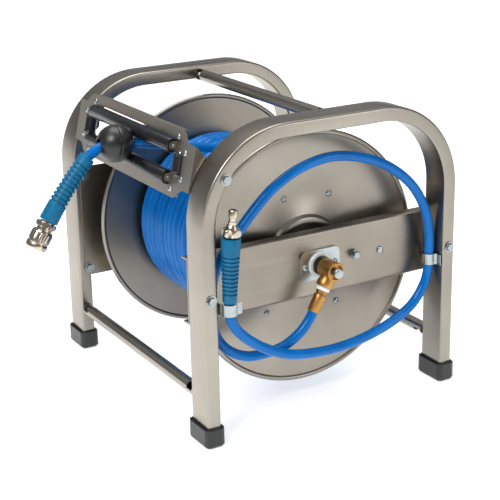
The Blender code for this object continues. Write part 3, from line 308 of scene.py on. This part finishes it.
def all_materials():
    upright, across = (6, 6, 0.15), (6, 0.15, 6)  # how the grain is stretched
    return {
        "tube_steel": brushed(
            "Brushed tube", (0.265, 0.24, 0.205), (0.345, 0.315, 0.27), upright, 0.29, 0.34
        ),
        "sheet_steel": brushed(
            "Brushed sheet", (0.235, 0.21, 0.175), (0.315, 0.285, 0.24), across, 0.30, 0.38
        ),
        "drum_steel": brushed(
            "Rolled sheet", (0.22, 0.20, 0.17), (0.30, 0.275, 0.235), upright, 0.29, 0.31
        ),
        "zinc": plain("Zinc plate", (0.27, 0.305, 0.31), (0.40, 0.435, 0.435), 1.0, 0.24, 0.34),
        "brass": plain("Brass", (0.40, 0.20, 0.055), (0.48, 0.25, 0.075), 1.0, 0.34, 0.42),
        "nickel": plain("Nickel plate", (0.42, 0.36, 0.285), (0.56, 0.49, 0.40), 1.0, 0.14, 0.24),
        "rubber": plain(
            "Black rubber", (0.005, 0.005, 0.005), (0.011, 0.011, 0.011), 0.0, 0.28, 0.42, 160
        ),
        "black_plastic": plain(
            "Black plastic", (0.004, 0.004, 0.005), (0.008, 0.008, 0.009), 0.0, 0.20, 0.30, 90
        ),
        "nylon": plain("White nylon", (0.58, 0.58, 0.56), (0.70, 0.70, 0.68), 0.0, 0.35, 0.5),
        "hose": plain(
            "Blue hose", (0.0, 0.105, 0.37), (0.0, 0.135, 0.45), 0.0, 0.12, 0.18, 30, 0.00002, 0.20
        ),
        "boot": plain(
            "Teal boot", (0.0, 0.095, 0.20), (0.0, 0.125, 0.255), 0.0, 0.34, 0.46, 110, 0.00003, 0.25
        ),
        "tape": plain(
            "Thread tape", (0.70, 0.69, 0.66), (0.84, 0.83, 0.81), 0.0, 0.5, 0.7, 300, 0.0002
        ),
    }


# ---------------------------------------------------------------- shapes


def piece_name(name):
    return "look_" + name.lower().replace(" ", "_")


def finish(name, bm, slot, body, smooth=35.0):
    """Makes the piece, smooth but for edges sharper than the given degrees."""
    bmesh.ops.remove_doubles(bm, verts=bm.verts, dist=1e-6)
    bmesh.ops.recalc_face_normals(bm, faces=bm.faces)
    for face in bm.faces:
        face.smooth = True
    limit = math.radians(smooth)
    for edge in bm.edges:
        edge.smooth = len(edge.link_faces) == 2 and edge.calc_face_angle(0) < limit
    mesh = bpy.data.meshes.new(piece_name(name))
    bm.to_mesh(mesh)
    bm.free()
    mesh.materials.append(materials[slot])
    obj = bpy.data.objects.new(piece_name(name), mesh)
    bpy.context.scene.collection.objects.link(obj)
    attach(obj, body)
    return obj


def basis(along):
    x = Vector(along).normalized()
    y = Vector((0, 0, 1)).cross(x)
    y = y.normalized() if y.length > 1e-6 else Vector((0, 1, 0))
    return Matrix((x, y, x.cross(y))).transposed()


def placed(bm, along, origin):
    bm.transform(Matrix.Translation(origin) @ basis(along).to_4x4())
    return bm


def rounded(width, height, radius, steps=3):
    points = []
    for quarter, (sx, sy) in enumerate([(1, 1), (-1, 1), (-1, -1), (1, -1)]):
        for step in range(steps + 1):
            angle = math.pi / 2 * (quarter + step / steps)
            points.append(
                (
                    sx * (width / 2 - radius) + radius * math.cos(angle),
                    sy * (height / 2 - radius) + radius * math.sin(angle),
                )
            )
    return points


def arc(centre, radius, start, end, steps):
    angles = [math.radians(start + (end - start) * i / steps) for i in range(steps + 1)]
    return [(centre[0] + radius * math.cos(a), centre[1] + radius * math.sin(a)) for a in angles]


def turned(outline, steps=32, along=(1, 0, 0), origin=(0, 0, 0)):
    bm = bmesh.new()
    verts = [bm.verts.new((a, 0, r)) for a, r in outline]
    edges = [bm.edges.new(pair) for pair in zip(verts, verts[1:])]
    if outline[0][1] > 0 or outline[-1][1] > 0:
        edges.append(bm.edges.new((verts[-1], verts[0])))
    bmesh.ops.spin(
        bm,
        geom=verts + edges,
        cent=(0, 0, 0),
        axis=(1, 0, 0),
        angle=2 * math.pi,
        steps=steps,
        use_merge=True,
    )
    return placed(bm, along, origin)


def skinned(loops, close_ends=True):
    bm = bmesh.new()
    rows = [[bm.verts.new(point) for point in loop] for loop in loops]
    count = len(rows[0])
    for low, high in zip(rows, rows[1:]):
        for i in range(count):
            j = (i + 1) % count
            bm.faces.new((low[i], low[j], high[j], high[i]))
    if close_ends:
        bm.faces.new(rows[0])
        bm.faces.new(list(reversed(rows[-1])))
    return bm


def fitting(stations, along, origin, sides=72):
    """A fitting lofted along its axis from (along, radius, round, hex or knurled) stations."""
    loops = []
    for place, radius, form in stations:
        loop = []
        for i in range(sides):
            angle = 2 * math.pi * i / sides
            reach = radius
            if form == "hex":
                reach *= math.cos(math.pi / 6) / math.cos(angle % (math.pi / 3) - math.pi / 6)
            if form == "knurled":
                reach -= 0.0005 * (i // 2 % 2)
            loop.append((place, reach * math.cos(angle), reach * math.sin(angle)))
        loops.append(loop)
    return placed(skinned(loops), along, origin)


def carved(base, joined, cutters):
    """One mesh: the base with some shapes joined to it and then others cut from it."""
    bodies = []
    for bm in (base, *joined, *cutters):
        bmesh.ops.remove_doubles(bm, verts=bm.verts, dist=1e-6)
        bmesh.ops.recalc_face_normals(bm, faces=bm.faces)
        mesh = bpy.data.meshes.new("carving")
        bm.to_mesh(mesh)
        bm.free()
        bodies.append(bpy.data.objects.new("carving", mesh))
        bpy.context.scene.collection.objects.link(bodies[-1])
    for i, body in enumerate(bodies[1:]):
        modifier = bodies[0].modifiers.new(f"Carving {i}", "BOOLEAN")
        modifier.operation = "UNION" if i < len(joined) else "DIFFERENCE"
        modifier.solver = "EXACT"
        modifier.object = body
    evaluated = bodies[0].evaluated_get(bpy.context.evaluated_depsgraph_get())
    result = bmesh.new()
    result.from_mesh(evaluated.to_mesh())
    evaluated.to_mesh_clear()
    for body in bodies:
        bpy.data.objects.remove(body)
    return result


def curve_through(route, spacing):
    ends = [
        Vector(route[0]) * 2 - Vector(route[1]),
        Vector(route[-1]) * 2 - Vector(route[-2]),
    ]
    knots = [ends[0], *[Vector(p) for p in route], ends[1]]
    fine = []
    for a, b, c, d in zip(knots, knots[1:], knots[2:], knots[3:]):
        for step in range(24):
            t = step / 24
            fine.append(
                b
                + (c - a) * t / 2
                + (a * 2 - b * 5 + c * 4 - d) * t * t / 2
                + (b * 3 - a - c * 3 + d) * t**3 / 2
            )
    fine.append(knots[-2])
    along = [0.0]
    for a, b in zip(fine, fine[1:]):
        along.append(along[-1] + (b - a).length)
    count = max(2, round(along[-1] / spacing))
    points, at = [], 0
    for i in range(count + 1):
        wanted = along[-1] * i / count
        while at < len(fine) - 2 and along[at + 1] < wanted:
            at += 1
        part = (wanted - along[at]) / (along[at + 1] - along[at])
        points.append(fine[at].lerp(fine[at + 1], min(1, part)))
    return points


def tangents(points):
    pairs = zip([points[0], *points[:-1]], [*points[1:], points[-1]])
    return [(b - a).normalized() for a, b in pairs]


def run_length(points):
    return sum((b - a).length for a, b in zip(points, points[1:]))


def tube(name, points, radius, slot, body):
    curve = bpy.data.curves.new(piece_name(name), "CURVE")
    curve.dimensions = "3D"
    curve.bevel_depth = radius
    curve.bevel_resolution = 6
    curve.use_fill_caps = True
    spline = curve.splines.new("POLY")
    spline.points.add(len(points) - 1)
    for target, point in zip(spline.points, points):
        target.co = (*point, 1)
    spline.use_smooth = True
    curve.materials.append(materials[slot])
    obj = bpy.data.objects.new(piece_name(name), curve)
    bpy.context.scene.collection.objects.link(obj)
    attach(obj, body)
    return obj


# ---------------------------------------------------------------- hoses


def boot(name, route, narrow, node):
    """A ribbed strain relief that follows its route: smooth cuffs with square grooves between."""
    ribs = 9
    points = curve_through(route, 0.002)
    length = run_length(points)
    stations = [(0.0, -0.0012), (0.0003, -0.0004), (0.0012, 0.0)]
    first, last = 0.13 * length, 0.70 * length
    for i in range(ribs + 1):
        at = first + (last - first) / ribs * i
        stations += [(at, 0.0), (at + 0.0004, -0.0003), (at + 0.0006, -0.0018)]
        stations += [(at + 0.0022, -0.0018), (at + 0.0024, -0.0003), (at + 0.0028, 0.0)]
    stations += [(length - 0.0012, 0.0), (length - 0.0003, -0.0004), (length, -0.0012)]
    outline = [(at, narrow + (BOOT_WIDE - narrow) * at / length + drop) for at, drop in stations]
    outline += [(length, HOSE_RADIUS + 0.0006), (0.020, HOSE_RADIUS + 0.0004)]
    outline.append((0.0, HOSE_RADIUS + 0.0009))
    runs = tangents(points)
    loops = []
    for at, radius in outline:
        place = at / length * (len(points) - 1)
        low = min(int(place), len(points) - 2)
        centre = points[low].lerp(points[low + 1], place - low)
        turn = basis(runs[low].lerp(runs[low + 1], place - low))
        loops.append([centre + turn @ Vector((0, a, b)) for a, b in arc((0, 0), radius, 0, 351, 39)])
    obj = finish(name, skinned([*loops, loops[0]], close_ends=False), "boot", "frame")
    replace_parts(obj, node)
    return obj


def stop_ball():
    """The ball round the hose, with a fine seam round its middle and a mouth at each side."""
    centre = Vector(OUTLET_ROUTE[6])
    radius, mouth = BALL_RADIUS, 0.0078
    ahead = (Vector(OUTLET_ROUTE[7]) - Vector(OUTLET_ROUTE[5])).normalized()
    low = math.degrees(math.asin(mouth / radius))
    outline = arc((0, 0), radius, 180 - low, low, 40)
    outline = [(a, max(r, mouth)) for a, r in outline]
    middle = len(outline) // 2
    a, r = outline[middle]
    outline[middle] = (a, r - 0.0005)
    outline += [(outline[-1][0] - 0.0006, mouth - 0.0006), (outline[0][0] + 0.0006, mouth - 0.0006)]
    ball = finish("Stop ball", turned(outline, 56, ahead, centre), "rubber", "frame")
    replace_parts(ball, "stop_ball")
    return ball


def coupler():
    """The quick coupler's hexagon and body, and the knurled sleeve that slides on it."""
    down = Vector(COUPLER_DOWN)
    start = Vector(OUTLET_BOOT_ROUTE[-1]) + down * 0.0006
    body = [
        (0.0, 0.0088, "round"),
        (0.0002, 0.0092, "round"),
        (0.0012, 0.0092, "round"),
        (0.0012, 0.0112, "round"),
        (0.0022, 0.0128, "hex"),
        (0.0068, 0.0128, "hex"),
        (0.0078, 0.0112, "round"),
        (0.0078, 0.0096, "round"),
        (0.0326, 0.0096, "round"),
        (0.0330, 0.0092, "round"),
        (0.0330, 0.0060, "round"),
        (0.0230, 0.0055, "round"),
    ]
    hexagon = finish("Coupler body", fitting(body, down, start), "nickel", "frame")
    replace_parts(hexagon, "coupler_body")
    sleeve = [
        (0.0115, COUPLER_BORE, "round"),
        (0.0115, 0.0112, "round"),
        (0.0120, 0.0120, "round"),
        (0.0132, 0.0124, "round"),
        (0.0140, 0.0124, "round"),
        (0.0146, 0.0132, "knurled"),
        (0.0252, 0.0133, "knurled"),
        (0.0258, 0.0122, "round"),
        (0.0272, 0.0122, "round"),
        (0.0278, 0.0130, "round"),
        (0.0284, 0.0133, "round"),
        (0.0338, 0.0133, "round"),
        (0.0348, 0.0127, "round"),
        (0.0354, 0.0118, "round"),
        (0.0354, COUPLER_BORE, "round"),
    ]
    loose = fitting(sleeve, down, start)
    bore = fitting([(-0.01, COUPLER_BORE, "round"), (0.06, COUPLER_BORE, "round")], down, start)
    ring = finish("Coupler sleeve", carved(loose, [], [bore]), "nickel", "sleeve")
    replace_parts(ring, "coupler_sleeve")
    return [hexagon, ring]


def hose_plug():
    """The bare quick plug on the supply hose: a hexagon, a neck and a ringed tip."""
    up = Vector(PLUG_UP)
    plug = [
        (0.0, 0.0095, "round"),
        (0.0006, 0.0100, "round"),
        (0.0014, 0.0112, "hex"),
        (0.0076, 0.0112, "hex"),
        (0.0088, 0.0098, "round"),
        (0.0088, 0.0074, "round"),
        (0.0128, 0.0066, "round"),
        (0.0145, 0.0052, "round"),
        (0.0178, 0.0052, "round"),
        (0.0185, 0.0042, "round"),
        (0.0222, 0.0042, "round"),
        (0.0230, 0.0054, "round"),
        (0.0300, 0.0054, "round"),
        (0.0310, 0.0050, "round"),
        (0.0315, 0.0044, "round"),
        (0.0315, 0.0030, "round"),
        (0.0240, 0.0026, "round"),
    ]
    start = Vector(SUPPLY_BOOT_ROUTE[-1]) + up * 0.0014
    obj = finish("Hose plug", fitting(plug, up, start), "nickel", "frame")
    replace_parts(obj, "hose_plug")
    return obj


def free_hoses():
    """The two hoses off the drum, each a tube, with the boots, ball and fittings that go on them."""
    outlet = curve_through(OUTLET_ROUTE, 0.005)
    supply = curve_through(SUPPLY_ROUTE, 0.006)
    outlet_hose = tube("Outlet hose", outlet, HOSE_RADIUS, "hose", "frame")
    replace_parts(outlet_hose, "outlet_hose")
    supply_hose = tube("Supply hose", supply, HOSE_RADIUS, "hose", "frame")
    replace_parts(supply_hose, "supply_hose")
    outlet_boot = boot("Outlet boot", OUTLET_BOOT_ROUTE, BOOT_MIDDLE, "outlet_boot")
    supply_boot = boot("Supply boot", SUPPLY_BOOT_ROUTE, BOOT_NARROW, "supply_boot")
    stop_ball()
    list(coupler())
    hose_plug()


def wound_hose():
    """The hose on the drum: two full layers, then a few slack turns clear of where the hose leaves."""
    far, near, slack_end = -0.1070, 0.1180, 0.0580
    turns = (near - far) / 0.01262
    layers = [
        (near, far, turns, 0.0968, 0.0),
        (far, near, turns, 0.1076, 0.1),
        (near, slack_end, 3.0, 0.1185, 0.9),
    ]
    points = []
    before, last = 0.0, layers[0][3]
    for start, end, count, radius, slack in layers:
        steps = round(count * 36)
        for i in range(steps):
            part = i / steps
            angle = before + 2 * math.pi * count * part
            climb = min(1, i / 12)
            reach = last + (radius - last) * climb + 0.0005 * math.sin(angle * 0.37)
            reach += slack * 0.0012 * math.sin(angle * 1.9)
            x = start + (end - start) * part + 0.0009 * math.sin(angle * 0.53) * climb
            points.append(Vector((x, reach * math.cos(angle), AXIS_Z + reach * math.sin(angle))))
        before += 2 * math.pi * count
        last = radius
    obj = tube("Wound hose", points, HOSE_RADIUS, "hose", "drum")
    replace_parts(obj, "hose_pack")


# ---------------------------------------------------------------- frame and drum


def hoop(name, side):
    """The bent tube again, with smooth bends and rounded edges."""
    leg, thin, wide = LEG_Y, TUBE_THIN, TUBE_WIDE
    bend = BEND_RADIUS - thin / 2
    centre_y, centre_z = leg - bend, HEIGHT - thin / 2 - bend
    path = [((-leg, 0.0055), (-1.0, 0.0)), ((-leg, 0.03), (-1.0, 0.0))]
    for hand, start, end in ((-1, 180, 90), (1, 90, 0)):
        for y, z in arc((0, 0), 1, start, end, 24):
            path.append(((hand * centre_y + bend * y, centre_z + bend * z), (y, z)))
    path += [((leg, 0.03), (1.0, 0.0)), ((leg, 0.0055), (1.0, 0.0))]
    middle = side * (HOOP_INNER_X + wide / 2)
    section = rounded(wide, thin, 0.003, 5)
    loops = [
        [(middle + x, y + out_y * out, z + out_z * out) for x, out in section]
        for (y, z), (out_y, out_z) in path
    ]
    return finish(name, skinned(loops), "tube_steel", "frame", 40)


def flanges():
    """The drum's two discs, each dished to a rolled edge. The near one has a raised ring."""
    sheet, steps = FLANGE_SHEET, 128
    x, lift = NEAR_FACE_X, 0.005
    face = [
        (x, 0.0103),
        (x, 0.0370),
        (x + 0.0008, 0.0380),
        (x + lift - 0.0008, 0.0393),
        (x + lift, 0.0403),
        (x + lift, 0.0515),
        (x + lift - 0.0008, 0.0526),
        (x + 0.0008, 0.0544),
        (x, 0.0555),
        (x, 0.1180),
        (x + 0.0004, 0.1225),
        (x + 0.0035, 0.1572),
    ]
    bead = [(x + 0.0045 + a, 0.1604 + r) for a, r in arc((0, 0), 0.0032, 225, -120, 20)]
    outline = face + bead + [(a + sheet, r) for a, r in reversed(face)]
    shape = turned(outline, steps, origin=(0, 0, AXIS_Z))
    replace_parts(finish("Near flange", shape, "drum_steel", "drum", 40), "near_flange")
    x = FAR_FACE_X
    face = [(x, 0.0175), (x, 0.1180), (x - 0.0004, 0.1225), (x - 0.0035, 0.1572)]
    bead = [(x - 0.0045 - a, 0.1604 + r) for a, r in arc((0, 0), 0.0032, 225, -120, 20)]
    outline = face + bead + [(a - sheet, r) for a, r in reversed(face)]
    shape = turned(outline, steps, origin=(0, 0, AXIS_Z))
    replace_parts(finish("Far flange", shape, "drum_steel", "drum", 40), "far_flange")


# ---------------------------------------------------------------- swivel and rollers


def swivel():
    """The brass elbow, with the seal, plug, nipple and ferrule that are turned about its two axes."""
    about_shaft = {"along": (1, 0, 0), "origin": (0, 0, AXIS_Z)}
    about_outlet = {"along": SWIVEL_DOWN, "origin": SWIVEL_CENTRE}
    body = [(0.1745, 0), (0.1745, 0.0108), (0.1750, 0.0116), (0.1760, 0.0120), (0.1983, 0.0120)]
    body += [(0.1994, 0.0117), (0.1998, 0.0112), (0.1998, 0)]
    socket = [(0.002, 0), (0.002, 0.0100), (0.0125, 0.0097), (0.0142, 0.0100), (0.0158, 0.0105)]
    socket += [(0.0210, 0.0106), (0.0216, 0.0104), (0.0218, 0.0099), (0.0218, 0)]
    bores = [(0.0074, 0.1700, 0.1895), (0.0096, 0.1952, 0.2100), (0.0049, 0.1880, 0.1960)]
    cutters = []
    for radius, start, end in bores:
        bore = [(start, 0), (start, radius), (end, radius), (end, 0)]
        cutters.append(turned(bore, 48, **about_shaft))
    outlet = [(0.0062, 0), (0.0062, 0.0060), (0.0300, 0.0060), (0.0300, 0)]
    cutters.append(turned(outlet, 40, **about_outlet))
    shape = carved(turned(body, 64, **about_shaft), [turned(socket, 56, **about_outlet)], cutters)
    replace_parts(finish("Swivel elbow", shape, "brass", "frame"), "swivel_elbow")

    seal = [(0.1661, 0.0075), (0.1661, 0.0116)]
    for i in range(3):
        at = 0.1668 + 0.0026 * i
        seal += [(at, 0.0121), (at + 0.0008, 0.0121), (at + 0.0012, 0.0112), (at + 0.0018, 0.0112)]
    seal += [(0.1742, 0.0118), (0.1742, 0.0075)]
    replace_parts(finish("Swivel seal", turned(seal, 48, **about_shaft), "rubber", "frame"), "swivel_seal")

    plug = [(0.1922, 0), (0.1922, 0.0040), (0.1930, 0.0046), (0.2012, 0.0046), (0.2012, 0.0062)]
    plug += [(0.2015, 0.0065), (0.2056, 0.0065), (0.2064, 0.0060), (0.2068, 0.0052)]
    plug.append((0.2068, 0))
    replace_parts(finish("Swivel plug", turned(plug, 48, **about_shaft), "zinc", "frame"), "swivel_plug")

    nipple = [(0.0130, 0), (0.0130, 0.0050), (0.0145, 0.0056), (0.0275, 0.0056), (0.0275, 0.0068)]
    nipple += [(0.0281, 0.0073), (0.0302, 0.0073), (0.0308, 0.0067), (0.0312, 0.0058)]
    nipple += [(0.0322, 0.0058), (0.0322, 0)]
    shape = turned(nipple, 48, **about_outlet)
    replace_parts(finish("Hose nipple", shape, "brass", "frame"), "hose_nipple")

    ferrule = [(0.0326, 0.0067), (0.0326, 0.0070), (0.0329, 0.0074), (0.0336, 0.0076)]
    ferrule += [(0.0390, 0.0076), (0.0394, 0.0073), (0.0402, 0.0073), (0.0406, 0.0076)]
    ferrule += [(0.0542, 0.0076), (0.0550, 0.0073), (0.0552, 0.0070), (0.0552, 0.0067)]
    shape = turned(ferrule, 48, **about_outlet)
    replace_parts(finish("Hose ferrule", shape, "brass", "frame"), "hose_ferrule")

    tape = [(0.0223, 0.0060), (0.0223, 0.0080)]
    tape += [(0.0228 + 0.0009 * i, 0.0084 + 0.0003 * math.sin(i * 2.1)) for i in range(5)]
    tape += [(0.0270, 0.0080), (0.0270, 0.0060)]
    finish("Thread tape", turned(tape, 40, **about_outlet), "tape", "frame")


def guide_point(x, out, up):
    """A place on the leaning guide, from across, out of its plate and up it."""
    lean = Vector((0, math.sin(GUIDE_LEAN), math.cos(GUIDE_LEAN)))
    front = Vector((0, -math.cos(GUIDE_LEAN), math.sin(GUIDE_LEAN)))
    return Vector((x, GUIDE_Y, GUIDE_Z)) + front * out + lean * up


def rollers():
    """The guide's two long rollers and two short ones, with eased ends."""
    bore = 0.0022
    for name, up in (("upper", ROLLER_UP), ("lower", -ROLLER_UP)):
        half, radius = 0.1095, ROLLER_RADIUS
        outline = [(-half, bore), (-half, radius - 0.0009), (-half + 0.0003, radius - 0.0003)]
        outline += [(-half + 0.0009, radius), (half - 0.0009, radius)]
        outline += [(half - 0.0003, radius - 0.0003), (half, radius - 0.0009), (half, bore)]
        shape = turned(outline, 40, origin=guide_point(0, ROLLER_OUT, up))
        obj = finish(f"{name} roller", shape, "black_plastic", f"{name}_roller")
        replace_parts(obj, f"{name}_roller")
    lean = guide_point(0, 0, 1) - guide_point(0, 0, 0)
    for name, side in (("far", -1), ("near", 1)):
        half, radius = 0.0108, SIDE_ROLLER_RADIUS
        outline = [(-half, bore), (-half, radius - 0.0003), (-half + 0.0003, radius)]
        outline += [(-half + 0.0012, radius), (-half + 0.0018, radius - 0.0006)]
        outline += [(half - 0.0018, radius - 0.0006), (half - 0.0012, radius)]
        outline += [(half - 0.0003, radius), (half, radius - 0.0003), (half, bore)]
        shape = turned(outline, 36, lean, guide_point(side * SIDE_ROLLER_X, -0.0015, 0))
        obj = finish(f"{name} side roller", shape, "black_plastic", f"{name}_side_roller")
        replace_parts(obj, f"{name}_side_roller")


# ---------------------------------------------------------------- small fixings


def domed_screw(name, place, along, radius, body):
    """A pan-head screw with a cross recess."""
    high = radius * 0.55
    outline = [(-0.0002, 0), (-0.0002, radius)]
    outline += [(high * math.sin(t), radius * math.cos(t)) for t in (0.3, 0.6, 0.9, 1.2)]
    outline.append((high, 0))
    obj = finish(name, turned(outline, 24, along, place), "zinc", body, 50)
    turn = basis(along)
    for quarter in (0, 1):
        bm = bmesh.new()
        bmesh.ops.create_cube(bm, size=1)
        bm.transform(Matrix.Diagonal((radius * 0.5, radius * 1.0, radius * 0.22, 1)))
        bm.transform(Matrix.Rotation(math.pi / 2 * quarter + 0.5, 4, "X"))
        bm.transform(Matrix.Translation((high, 0, 0)))
        bm.transform(Matrix.Translation(place) @ turn.to_4x4())
        cutter_mesh = bpy.data.meshes.new(f"{name} recess {quarter}")
        bm.to_mesh(cutter_mesh)
        bm.free()
        cutter = bpy.data.objects.new(f"{name} recess {quarter}", cutter_mesh)
        bpy.context.scene.collection.objects.link(cutter)
        modifier = obj.modifiers.new(f"Recess {quarter}", "BOOLEAN")
        modifier.solver = "EXACT"
        modifier.object = cutter
        cutter.hide_render = True
        cutter.hide_viewport = True
    return obj


def fixings():
    """Screws and rivets on the guide, flange and bearing plate, and bolts in the tie rods' ends."""
    front = guide_point(0, 1, 0) - guide_point(0, 0, 0)
    for end in (-1, 1):
        for edge in (-1, 1):
            hand = f"{'near' if end > 0 else 'far'} {'high' if edge > 0 else 'low'}"
            screw = guide_point(end * 0.1153, 0, edge * 0.031)
            rivet = guide_point(end * 0.1365, 0, edge * 0.0155)
            domed_screw(f"Guide screw {hand}", screw, front, 0.0036, "frame")
            domed_screw(f"Guide rivet {hand}", rivet, front, 0.0036, "frame")
    for i, degrees in enumerate((64, 110, 229, 305)):
        turn = math.radians(degrees)
        place = (0.1280, 0.085 * math.cos(turn), AXIS_Z + 0.085 * math.sin(turn))
        domed_screw(f"Flange screw {i}", place, (1, 0, 0), 0.0042, "drum")
    for side in (-1, 1):
        place = (0.1630, 0.001 + side * 0.0215, AXIS_Z - 0.001)
        domed_screw(f"Bearing screw {side}", place, (1, 0, 0), 0.0044, "frame")
    for rod, y, z in (("top", 0.014, 0.3685), ("front", -0.173, 0.0575), ("rear", 0.170, 0.060)):
        for side in (-1, 1):
            head = [(0.0, 0.0048, "round"), (0.0006, 0.0050, "hex"), (0.0042, 0.0050, "hex")]
            head.append((0.0048, 0.0042, "hex"))
            shape = fitting(head, (-side, 0, 0), (side * 0.1569, y, z), 24)
            finish(f"Rod bolt {rod} {side}", shape, "zinc", "frame")


# ---------------------------------------------------------------- the scene


def dress_cad():
    """Gives each CAD body the material of its slot in the record."""
    for part in frame["record"]["subparts"]:
        obj = nodes[part["node"]]
        for held in obj.material_slots:
            held.material = materials[part["material_slot"]]


camera()
studio()
materials = all_materials()
dress_cad()
free_hoses()
wound_hose()
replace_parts(hoop("Near hoop", 1), "near_hoop")
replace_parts(hoop("Far hoop", -1), "far_hoop")
flanges()
swivel()
rollers()
fixings()
